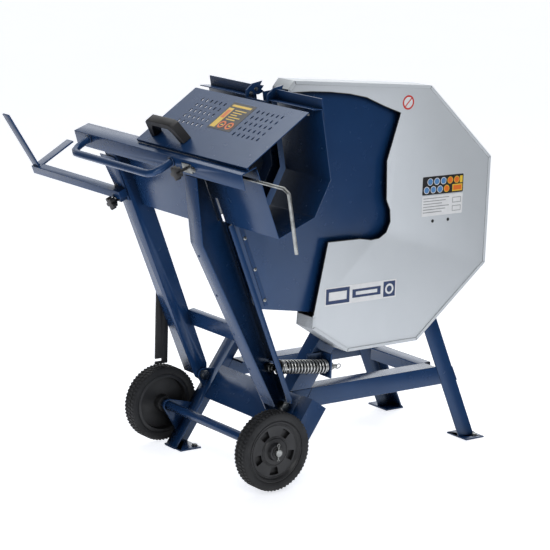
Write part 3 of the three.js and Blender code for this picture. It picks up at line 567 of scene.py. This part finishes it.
def add_wheel_details():
    """Ribs and hub beads on the rims, and the washers and cotter pins that hold the wheels on the axle."""
    for side, outward in (("near", 1), ("far", -1)):
        x0, half = WHEEL[side], WHEEL["width"] / 2
        face = x0 + (WHEEL["width"] if outward > 0 else 0)
        axis = X * outward
        beads = Shape(f"rim_beads_{side}", f"{side}_wheel", "wheel_plastic", WHEEL_PLASTIC)
        centre = Vector((x0 + half, AXLE.y, AXLE.z))
        for radius, along, thick in ((83.2, half - 4.9, 1.6), (72.5, 12.9, 1.0), (41, 12.9, 0.9)):
            beads.tube(circle(centre + axis * along, Y, Z, radius, 64, 65), thick)
        beads.finish(crease=45)

        washer = Shape(f"axle_washer_{side}", "frame", "black_coat", BLACK_COAT)
        start = Vector((face, AXLE.y, AXLE.z)) + axis * 2.3
        profile = [(10.4, 0), (15.6, 0), (16, 0.4), (16, 1.6), (15.6, 2), (10.4, 2)]
        washer.lathe(profile, start, axis, sides=40)
        washer.finish(crease=35)
        cotter = Shape(f"cotter_pin_{side}", "frame", "zinc_plate", ZINC)
        x = 472.5 if outward > 0 else -136.5
        loop = [Vector((x, AXLE.y + 3.6 * math.sin(t), AXLE.z + 21 + 4.5 * math.cos(t)))
                for t in (math.radians(-150 + 300 * k / 14) for k in range(15))]
        cotter.tube(loop, 1.3)
        for lean in (-1, 1):
            leg = [Vector((x, AXLE.y + lean * s * 0.55, AXLE.z - 16.5 - s)) for s in (0, 2, 4, 6)]
            cotter.tube(leg, 1.3)
        cotter.finish(crease=45)


# ---------------------------------------------------------------- case trim and labels
def inset_line(points, distance):
    """An open outline moved sideways by distance, with mitred corners."""
    moved = []
    last = len(points) - 1
    for i, point in enumerate(points):
        normals = []
        before = points[i] if i == 0 else points[i - 1]
        after = points[i] if i == last else points[i + 1]
        for a, b in ((before, point), (point, after)):
            length = math.hypot(b[0] - a[0], b[1] - a[1])
            if length:
                normals.append((-(b[1] - a[1]) / length, (b[0] - a[0]) / length))
        m, n = normals[0], normals[-1]
        scale = distance / (1 + m[0] * n[0] + m[1] * n[1])
        moved.append((point[0] + (m[0] + n[0]) * scale, point[1] + (m[1] + n[1]) * scale))
    return moved


LIP_WIDTH, LIP_GAP = 9, 0.9


def add_case_trim():
    """The folded lip that laps the front plate, in lengths with mitred gaps, and a black strip round the
    cut-out that is painted shadow of the gap beneath the plate's edge.
    """
    border = CASE_OUTLINE + [(-158, 460)]
    lip = Shape("case_lip", "frame", "silver_coat", SILVER)
    inner = inset_line(border, -LIP_WIDTH)
    for i in range(len(border) - 1):
        a, b, c, d = (Vector((0, *p)) for p in (border[i], border[i + 1], inner[i + 1], inner[i]))
        along = (b - a).normalized()
        corners = [a + along * LIP_GAP, b - along * LIP_GAP, c - along * LIP_GAP, d + along * LIP_GAP]
        if (corners[2] - corners[3]).dot(along) < 2:
            continue
        rings = [[corner + X * x for corner in corners] for x in (CASE_FRONT + ON_SURFACE, CASE_FRONT + 1.6)]
        lip.skin(rings)
    lip.finish(bevel=0.5, crease=30)

    # painted shadow: a black strip round the cut-out stands for the shadow in the gap under the front plate's
    # edge
    gap_shadow_strip = Shape("cutout_gap_shadow_strip", "frame", "black_plastic", SHADOW_GAP)
    outside, inside = inset_line(CASE_CUTOUT, 1.6), inset_line(CASE_CUTOUT, -0.4)
    for i in range(len(CASE_CUTOUT) - 1):
        rings = []
        for x in (CASE_FRONT - 2.4, CASE_FRONT + 0.7):
            rings.append([Vector((x, *p)) for p in (outside[i], outside[i + 1], inside[i + 1], inside[i])])
        gap_shadow_strip.skin(rings)
    gap_shadow_strip.finish(crease=30)


PRINT_BASE, RING_TOP = 0.3, 0.9             # where print starts, and how high a ring stands
PRINT_THICK, LAYER_STEP = 0.1, 0.012        # each bar is a step thicker than the bar before it


def sticker(name, body, origin, u, v, size, ground, patches, slot, corner=3):
    """A thin printed label. Patches are ("bar", left, top, right, bottom, ink), each on a layer of its own,
    or ("ring", x, y, outer, inner, ink)."""
    out = v.cross(u)
    label = Shape(name, body, slot, [ground])
    for patch in patches:
        if patch[-1] not in label.materials:
            label.materials.append(patch[-1])
    width, height = size
    right, bottom = width - corner, height - corner
    outline = []
    turns = ((right, corner, -90), (right, bottom, 0), (corner, bottom, 90), (corner, corner, 180))
    for cx, cy, first in turns:
        for k in range(5):
            t = math.radians(first + 90 * k / 4)
            outline.append((cx + corner * math.cos(t), cy + corner * math.sin(t)))
    label.prism(outline, -0.35, origin, u, v)
    level = PRINT_THICK
    for kind, a, b, c, d, ink_used in patches:
        colour = label.materials.index(ink_used)
        if kind == "bar":
            level += LAYER_STEP
            label.prism([(a, b), (c, b), (c, d), (a, d)], -level, origin + out * PRINT_BASE, u, v, colour)
        else:
            centre = origin + u * a + v * b
            steps = ((PRINT_BASE, c), (RING_TOP, c), (RING_TOP, d), (PRINT_BASE, d))
            label.skin([circle(centre + out * lift, u, v, radius, 32) for lift, radius in steps],
                       closed=True, material=colour)
    return label.finish(crease=30)


def add_lid_label():
    bars = [("bar", 8, 8, 92, 16, INK_YELLOW)]
    bars += [("bar", 38, 26 + 9 * k, 88 - 11 * (k % 3), 29.5 + 9 * k, INK_YELLOW) for k in range(5)]
    bars += [("bar", 5, 22, 28, 100, INK_YELLOW), ("bar", 9, 30, 24, 62, INK_ORANGE)]
    bars += [("ring", 46, 86, 14, 8.5, INK_ORANGE), ("ring", 80, 86, 14, 8.5, INK_ORANGE)]
    bars += [("bar", 41, 84, 51, 88, INK_YELLOW), ("bar", 75, 84, 85, 88, INK_YELLOW)]
    corner = LID_TOP + LID_DOWN * 22 + LID_OUT * 0.1 + X * 298
    sticker("lid_label", "lid", corner, X, LID_DOWN, (104, 106), INK_BLACK, bars, "blue_coat")


def add_case_labels():
    face = Vector((CASE_FRONT + ON_SURFACE, 213, 819))
    discs = []
    for row in range(2):
        for column in range(5 - row):
            x, y = 27 + 24.5 * column - 12 * row, 15 + 23 * row
            rim, middle = (INK_WHITE, INK_SKY) if column < 3 else (INK_YELLOW, INK_ORANGE)
            discs += [("ring", x, y, 10.2, 8.6, rim), ("ring", x, y, 8.5, 0.2, middle)]
    discs += [("bar", 137, 5, 147, 25, INK_YELLOW)]
    discs += [("bar", 110, 28, 147, 48, INK_YELLOW), ("bar", 113, 31, 144, 45, INK_ORANGE)]
    sticker("case_label", "frame", face, Y, -Z, (150, 52), INK_BLACK, discs, "silver_coat")

    lines = [("bar", 5, 6 + 8 * r, 100 - 13 * (r % 3), 8.4 + 8 * r, INK_GREY) for r in range(6)]
    for top in (10, 34):
        lines += [("bar", 112, top, 144, top + 16, INK_GREY), ("bar", 114, top + 2, 142, top + 14, INK_WHITE)]
    sticker("rating_plate", "frame", face - Z * 55, Y, -Z, (150, 58), INK_WHITE, lines, "silver_coat")

    band = [("bar", 4, 4, 86, 48, INK_BLUE), ("bar", 96, 14, 196, 38, INK_BLUE)]
    band += [("bar", 206, 4, 248, 48, INK_BLUE)]
    band += [("bar", 14, 14, 76, 38, INK_WHITE), ("bar", 108, 21, 184, 31, INK_WHITE)]
    band += [("ring", 227, 26, 15, 9, INK_WHITE)]
    corner = Vector((CASE_FRONT + ON_SURFACE, -120, 538))
    sticker("side_band", "frame", corner, Y, -Z, (252, 52), INK_WHITE, band, "silver_coat", corner=2)


def add_round_sign():
    sign = Shape("round_sign", "frame", "silver_coat", [INK_RED, INK_WHITE])
    centre = Vector((CASE_FRONT + ON_SURFACE, 148, 1034))
    sign.lathe([(0.2, 0), (15.4, 0), (15.4, 0.3), (0.2, 0.3)], centre, X, sides=40, material=1)
    sign.lathe([(15.6, 0), (20, 0), (20, 0.4), (15.6, 0.4)], centre, X, sides=40)
    slant = Vector((0, math.cos(math.radians(45)), math.sin(math.radians(45))))
    bar = [(-15.4, -1.6), (15.4, -1.6), (15.4, 1.6), (-15.4, 1.6)]
    sign.prism(bar, 0.2, centre + X * 0.32, slant, X.cross(slant))
    sign.finish(crease=30)


# ---------------------------------------------------------------- small parts
def add_rod_guide():
    """A plain zinc plate on the beam's front face, beside the beam's bolt."""
    centre = X * 351 + BEAM_FITTINGS + BEAM_OUT * 0.2
    up = BEAM_OUT.cross(X)
    outline = [(-21, -13), (21, -13), (21, 13), (-21, 13)]
    plate = Shape("rod_guide_plate", "cradle", "zinc_plate", ZINC)
    plate.skin([[centre + BEAM_OUT * lift + X * a + up * b for a, b in outline] for lift in (0, 2)])
    plate.finish(bevel=0.5)


def add_rod_ring():
    """The wire ring through the end of the spring's rod."""
    centre = SPRING_PIN + SPRING_ALONG * (ROD_LENGTH + 7)
    ring = Shape("rod_end_ring", "rod", "zinc_plate", ZINC)
    ring.tube(circle(centre, SPRING_ALONG, Vector((0.5, 0, 0.866)), 8.5, 28, 29), 1.4)
    ring.finish(crease=45)


def add_motor_details():
    plate = Shape("motor_nameplate", "frame", "motor_grey", [ZINC, INK_BLACK])
    centre = Vector((150, 90, 712))
    angle = math.radians(118)
    out = Vector((0, math.cos(angle), math.sin(angle)))
    up = out.cross(X)
    plate.prism([(-36, -20), (36, -20), (36, 20), (-36, 20)], 1.2, centre + out * 95, X, up)
    for row in range(4):
        end, low_edge = 28 - 9 * (row % 2), -14 + 8 * row
        line = [(-30, low_edge), (end, low_edge), (end, low_edge + 2.5), (-30, low_edge + 2.5)]
        plate.prism(line, 0.2, centre + out * 96.25, X, up, 1)
    plate.finish(crease=30)
    gland = Shape("cable_gland", "frame", "black_plastic", BLACK)
    profile = [(2, -1), (10, -1), (10, 5), (8, 6), (8, 14), (6, 18), (4, 18.5), (2, 18.5)]
    gland.lathe(profile, Vector((130.5, 226, 745)), X, sides=12)
    gland.finish(crease=30)


def add_button_rings():
    rings = Shape("button_bezels", "frame", "black_plastic", BLACK)
    profile = [(17.6, 0), (21, 0), (21, 1.6), (19.8, 3), (17.6, 3), (17.6, 1)]
    for z in (735, 685):
        rings.lathe(profile, Vector((69.9, 246, z)), -X, sides=36)
    rings.finish(crease=35)


# ---------------------------------------------------------------- studio
VIEW_AZIMUTH, VIEW_ELEVATION, VIEW_ROLL = math.radians(53.42), math.radians(12.55), math.radians(1.74)
SIDEWAYS = Vector((math.cos(VIEW_AZIMUTH), math.sin(VIEW_AZIMUTH), 0))     # across the main view
AWAY = Vector((-math.sin(VIEW_AZIMUTH), math.cos(VIEW_AZIMUTH), 0))        # from the viewer past the machine
VIEW_DISTANCE, VIEW_TARGET = 6.266, (0, 0, 485)
SENSOR_WIDTH, LENS = 36, 140.73

FLOOR_GLOW = 0.75                                   # light the paper gives off
PAPER_DIM = 0.2                                     # how bright the floor is away from the paper
PAPER_EDGES = ((-1, 1.5), (1, 2.0))                 # the paper's left and right edge, in metres
PAPER_SPREAD, SPREAD_START = 0.22, 1.0              # how it widens behind the machine
FADE_BEFORE, FADE_AFTER = 0.15, 1.1                 # where its edges start and stop fading
SURROUND_DARK, SURROUND_BRIGHT = 0.12, 1.6          # light from the viewer's side, and from behind


def math_node(nodes, links, operation, a, b):
    step = nodes.new("ShaderNodeMath")
    step.operation = operation
    for socket, value in zip(step.inputs, (a, b)):
        if isinstance(value, (int, float)):
            socket.default_value = value
        else:
            links.new(value, socket)
    return step.outputs[0]


def along_axis(nodes, links, place, axis):
    dot = nodes.new("ShaderNodeVectorMath")
    dot.operation = "DOT_PRODUCT"
    dot.inputs[1].default_value = axis
    links.new(place, dot.inputs[0])
    return dot.outputs["Value"]


def paper_material():
    """A pale glowing paper sweep that widens away from the viewer, on a much darker floor, so that the sides
    of the machine mirror something dark. Its edges fade softly. From behind, the darker floor shows."""
    material, nodes, links, shader = new_material("studio floor")
    place = nodes.new("ShaderNodeTexCoord").outputs["Object"]
    across = along_axis(nodes, links, place, SIDEWAYS)
    depth = along_axis(nodes, links, place, AWAY)
    behind = math_node(nodes, links, "SUBTRACT", depth, SPREAD_START)
    behind = math_node(nodes, links, "MAXIMUM", behind, 0.0)
    spread = math_node(nodes, links, "MULTIPLY", behind, PAPER_SPREAD)
    masks = []
    for side, edge in PAPER_EDGES:
        outward = math_node(nodes, links, "MULTIPLY", across, side)
        outward = math_node(nodes, links, "SUBTRACT", outward, spread)
        fade = nodes.new("ShaderNodeMapRange")
        fade.interpolation_type = "SMOOTHSTEP"
        fade.inputs["From Min"].default_value = edge - FADE_BEFORE
        fade.inputs["From Max"].default_value = edge + FADE_AFTER
        fade.inputs["To Min"].default_value = 1.0
        fade.inputs["To Max"].default_value = PAPER_DIM
        links.new(outward, fade.inputs["Value"])
        masks.append(fade.outputs["Result"])
    mask = math_node(nodes, links, "MULTIPLY", *masks)
    grain = colours_from(nodes, links, noise(nodes, links, 1.5, 2), (0.84, 0.85, 0.87), (0.87, 0.88, 0.90))
    links.new(scaled(nodes, links, grain, mask), shader.inputs["Base Color"])
    links.new(math_node(nodes, links, "MULTIPLY", mask, FLOOR_GLOW), shader.inputs["Emission Strength"])
    shader.inputs["Emission Color"].default_value = (0.94, 0.955, 1.0, 1)
    shader.inputs["Roughness"].default_value = 0.8
    shader.inputs["Specular IOR Level"].default_value = 0.15
    return material


def add_studio():
    bpy.context.scene.view_settings.view_transform = "Standard"
    floor = bpy.data.objects.new("studio_floor", bpy.data.meshes.new("studio_floor"))
    bpy.context.scene.collection.objects.link(floor)
    mesh = bmesh.new()
    bmesh.ops.create_grid(mesh, x_segments=8, y_segments=8, size=40)
    mesh.to_mesh(floor.data)
    mesh.free()
    floor.data.materials.append(paper_material())
    add_surroundings()
    add_softbox("overhead_softbox", (-0.8, 0.3, 3.4), (2.6, 2.6), 42)
    add_softbox("side_softbox", (3.6, -2.6, 3.0), (1.8, 1.8), 74)


def add_surroundings():
    """Light from all round, strong from behind the machine and weak from the viewer's side."""
    world = bpy.data.worlds.new("studio")
    bpy.context.scene.world = world
    world.use_nodes = True
    nodes, links = world.node_tree.nodes, world.node_tree.links
    background = nodes["Background"]
    background.inputs["Color"].default_value = (0.95, 0.97, 1.0, 1)
    place = nodes.new("ShaderNodeTexCoord")
    toward = nodes.new("ShaderNodeVectorMath")
    toward.operation = "DOT_PRODUCT"
    toward.inputs[1].default_value = AWAY
    span = nodes.new("ShaderNodeMapRange")
    span.inputs["From Min"].default_value = 0.45
    span.inputs["From Max"].default_value = 0.9
    span.inputs["To Min"].default_value = SURROUND_DARK
    span.inputs["To Max"].default_value = SURROUND_BRIGHT
    links.new(place.outputs["Generated"], toward.inputs[0])
    links.new(toward.outputs["Value"], span.inputs["Value"])
    links.new(span.outputs["Result"], background.inputs["Strength"])


def add_softbox(name, place, size, power):
    light = bpy.data.lights.new(name, "AREA")
    light.shape = "RECTANGLE"
    light.size, light.size_y = size
    light.energy = power
    lamp = bpy.data.objects.new(name, light)
    lamp.location = place
    lamp.rotation_euler = (Vector((0, 0, 0.5)) - Vector(place)).to_track_quat("-Z", "Y").to_euler()
    bpy.context.scene.collection.objects.link(lamp)


def add_camera():
    """The main view: a long lens to the right of the operator's end, a little above."""
    back = -AWAY * math.cos(VIEW_ELEVATION) + Z * math.sin(VIEW_ELEVATION)
    level_up = back.cross(SIDEWAYS)
    right = SIDEWAYS * math.cos(VIEW_ROLL) + level_up * math.sin(VIEW_ROLL)
    up = level_up * math.cos(VIEW_ROLL) - SIDEWAYS * math.sin(VIEW_ROLL)
    data = bpy.data.cameras.new("camera")
    data.sensor_width = SENSOR_WIDTH
    data.lens = LENS
    camera = bpy.data.objects.new("camera", data)
    turn = Matrix((right, up, back)).transposed().to_4x4()
    camera.matrix_world = Matrix.Translation(at(*VIEW_TARGET) + back * VIEW_DISTANCE) @ turn
    bpy.context.scene.collection.objects.link(camera)
    bpy.context.scene.camera = camera


add_carried_over()
add_cradle_fasteners()
add_frame_fasteners()
add_beam_bolt()
add_welds()
add_spring()
add_tyres()
add_wheel_details()
add_case_trim()
add_lid_label()
add_case_labels()
add_round_sign()
add_rod_guide()
add_rod_ring()
add_motor_details()
add_button_rings()
add_studio()
add_camera()
